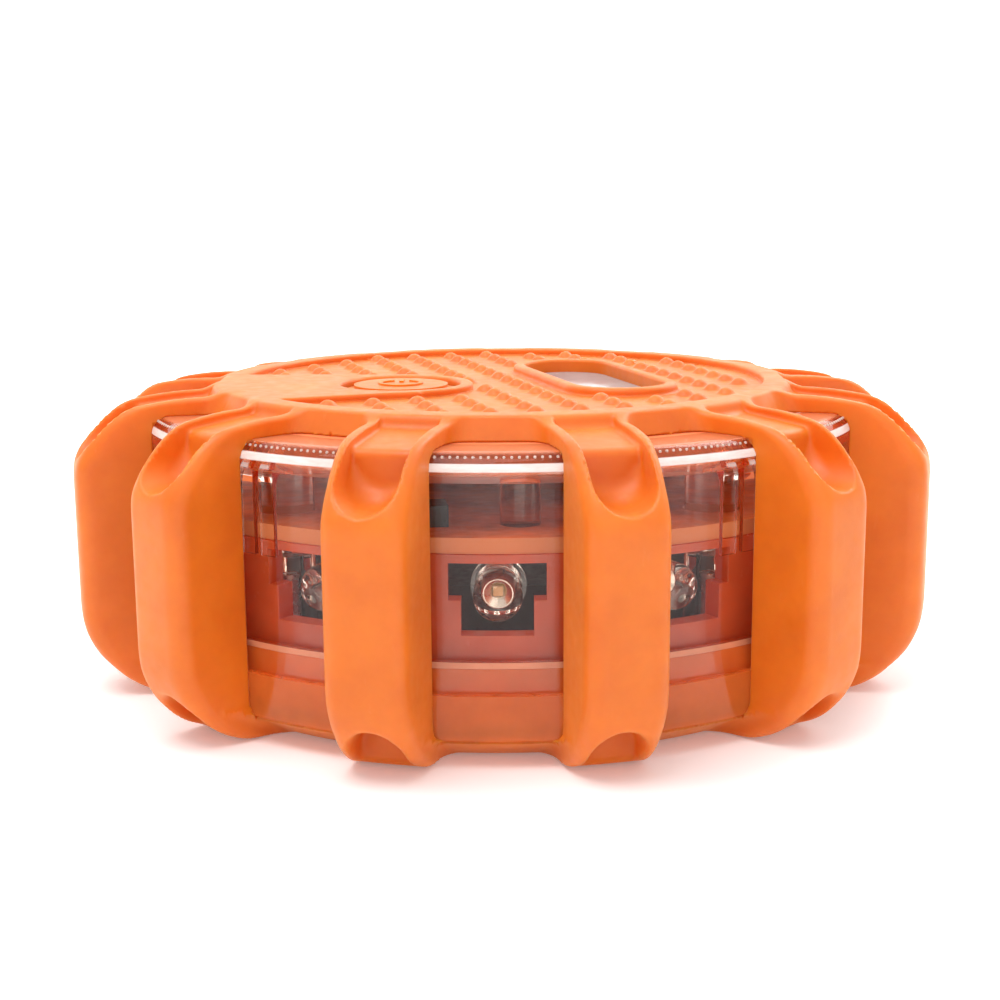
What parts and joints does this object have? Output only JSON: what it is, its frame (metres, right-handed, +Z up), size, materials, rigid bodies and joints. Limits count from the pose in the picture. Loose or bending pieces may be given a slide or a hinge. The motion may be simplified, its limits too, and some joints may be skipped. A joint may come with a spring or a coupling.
{
  "type": "led safety flare",
  "caption": "Round clear puck of signal lights in a ribbed orange rubber bumper, with a power button, top flashlight window, magnet, fold-out hook and battery door.",
  "frame": {"origin": "centre of the underside, on the plane of the rubber feet", "axes": "+Z up through the flat top; -Y is the front, where a window between two ribs faces"},
  "size_m": [0.098, 0.098, 0.0349],
  "materials": {
    "rubber_orange": "satin, soft, slightly translucent orange",
    "button_rubber": "satin orange",
    "case_clear": "clear polished polycarbonate",
    "lens_clear": "clear polished polycarbonate",
    "seal_silicone": "milky silicone",
    "frame_frosted": "clear, lightly frosted",
    "plunger_black": "smooth black",
    "switch_black": "matt black",
    "reflector_chrome": "vacuum metallised",
    "board_green": "brownish green solder mask",
    "chip_black": "moulded black",
    "resistor_black": "black glaze with tinned ends",
    "capacitor_sleeve": "shrink sleeve",
    "led_clear": "water clear epoxy",
    "led_white": "water clear epoxy over a yellow phosphor",
    "tinned_wire": "tinned",
    "box_black": "matt black",
    "cell_sleeve": "plain dark printed can with a bright end",
    "contact_plate": "nickel plated",
    "spring_steel": "nickel plated",
    "wire_red": "PVC insulation",
    "wire_black": "PVC insulation",
    "door_plastic": "fine texture, black",
    "screw_steel": "zinc plated",
    "magnet_nickel": "nickel plated",
    "hook_steel": "stamped stainless"
  },
  "bodies": {
    "housing": {"jacket": "rubber_orange", "tact_switch": "switch_black", "case_upper": "case_clear", "case_base": "case_clear", "case_seal": "seal_silicone", "flashlight_lens": "lens_clear", "reflector": "reflector_chrome", "pcb": "board_green", "control_chip": "chip_black", "transistor": "chip_black", "resistors": "resistor_black", "capacitor": "capacitor_sleeve", "led_frame": "frame_frosted", "battery_box": "box_black", "contact_left_bridge": "contact_plate", "contact_left_end": "contact_plate", "contact_right_end": "contact_plate", "contact_right_bridge": "contact_plate", "wire_red": "wire_red", "wire_black": "wire_black", "hook_pin": "screw_steel", "led_leads": "tinned_wire", "shell_screw_1": "screw_steel", "shell_screw_2": "screw_steel", "shell_screw_3": "screw_steel", "shell_screw_4": "screw_steel", "white_led_1": "led_white", "cell_1": "cell_sleeve", "battery_spring_1": "spring_steel", "white_led_2": "led_white", "cell_2": "cell_sleeve", "battery_spring_2": "spring_steel", "white_led_3": "led_white", "cell_3": "cell_sleeve", "battery_spring_3": "spring_steel", "red_led_01": "led_clear", "red_led_02": "led_clear", "red_led_03": "led_clear", "red_led_04": "led_clear", "red_led_05": "led_clear", "red_led_06": "led_clear", "red_led_07": "led_clear", "red_led_08": "led_clear", "red_led_09": "led_clear", "red_led_10": "led_clear", "red_led_11": "led_clear", "red_led_12": "led_clear"},
    "power_button": {"button_pad": "button_rubber", "button_plunger": "plunger_black", "switch_stem": "plunger_black"},
    "battery_door": {"battery_door": "door_plastic", "door_seal": "seal_silicone", "magnet": "magnet_nickel"},
    "door_screw": {"door_screw": "screw_steel"},
    "hanging_hook": {"hanging_hook": "hook_steel"}
  },
  "joints": [
    {"name": "power_press", "type": "slide", "parent": "housing", "child": "power_button", "axis": [0, 0, -1], "range_m": [0, 0.0008], "stiffness_N_per_m": 600},
    {"name": "door_lift", "type": "slide", "parent": "housing", "child": "battery_door", "axis": [0, 0, -1], "range_m": [0, 0.02]},
    {"name": "door_screw_turn", "type": "hinge", "parent": "battery_door", "child": "door_screw", "pos_m": [0, 0.0228, 0.0005], "axis": [0, 0, -1], "continuous": true},
    {"name": "hook_fold", "type": "hinge", "parent": "housing", "child": "hanging_hook", "pos_m": [0, -0.0295, 0.00155], "axis": [-1, 0, 0], "range_deg": [0, 105]}
  ]
}
